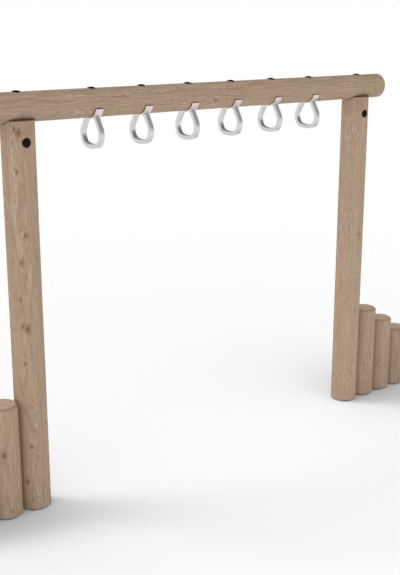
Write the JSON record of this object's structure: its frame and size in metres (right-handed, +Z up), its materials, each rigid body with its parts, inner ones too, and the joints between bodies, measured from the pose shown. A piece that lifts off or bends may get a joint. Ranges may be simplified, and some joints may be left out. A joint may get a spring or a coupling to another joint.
{
  "type": "hand ring traverse frame",
  "caption": "Round-timber play frame: a beam on two posts carries a row of fixed drop-shaped hand rings, and logs of falling height stand as steps beside each post.",
  "frame": {"origin": "on the ground, midway between the two posts, under the beam's axis", "axes": "+X along the beam towards the right post, +Y to the back, +Z up; the plugs over the cross nuts face -Y, the front"},
  "size_m": [3.4348, 0.1786, 2.066],
  "materials": {
    "timber": "greyed, planed round timber with fine straight grain",
    "ring_steel": "blasted stainless steel, satin",
    "zinc_steel": "zinc plated",
    "black_nylon": "moulded black nylon, satin"
  },
  "bodies": {
    "root": {"beam": "timber", "hand_ring_1": "ring_steel", "hand_ring_2": "ring_steel", "hand_ring_3": "ring_steel", "hand_ring_4": "ring_steel", "hand_ring_5": "ring_steel", "hand_ring_6": "ring_steel", "post_left": "timber", "post_left_bolt": "zinc_steel", "post_left_cover_cup": "black_nylon", "post_left_cover_lid": "black_nylon", "post_left_cross_nut": "zinc_steel", "post_left_plug": "black_nylon", "post_left_washer": "zinc_steel", "post_right": "timber", "post_right_bolt": "zinc_steel", "post_right_cover_cup": "black_nylon", "post_right_cover_lid": "black_nylon", "post_right_cross_nut": "zinc_steel", "post_right_plug": "black_nylon", "post_right_washer": "zinc_steel", "ring_1_bolt": "zinc_steel", "ring_1_cover_cup": "black_nylon", "ring_1_cover_lid": "black_nylon", "ring_1_washer": "zinc_steel", "ring_2_bolt": "zinc_steel", "ring_2_cover_cup": "black_nylon", "ring_2_cover_lid": "black_nylon", "ring_2_washer": "zinc_steel", "ring_3_bolt": "zinc_steel", "ring_3_cover_cup": "black_nylon", "ring_3_cover_lid": "black_nylon", "ring_3_washer": "zinc_steel", "ring_4_bolt": "zinc_steel", "ring_4_cover_cup": "black_nylon", "ring_4_cover_lid": "black_nylon", "ring_4_washer": "zinc_steel", "ring_5_bolt": "zinc_steel", "ring_5_cover_cup": "black_nylon", "ring_5_cover_lid": "black_nylon", "ring_5_washer": "zinc_steel", "ring_6_bolt": "zinc_steel", "ring_6_cover_cup": "black_nylon", "ring_6_cover_lid": "black_nylon", "ring_6_washer": "zinc_steel", "step_log_left_1": "timber", "step_log_left_2": "timber", "step_log_left_3": "timber", "step_log_right_1": "timber", "step_log_right_2": "timber", "step_log_right_3": "timber", "step_plug_left": "black_nylon", "step_plug_right": "black_nylon", "step_screw_left_1": "zinc_steel", "step_screw_left_2": "zinc_steel", "step_screw_left_3": "zinc_steel", "step_screw_right_1": "zinc_steel", "step_screw_right_2": "zinc_steel", "step_screw_right_3": "zinc_steel"}
  },
  "joints": []
}
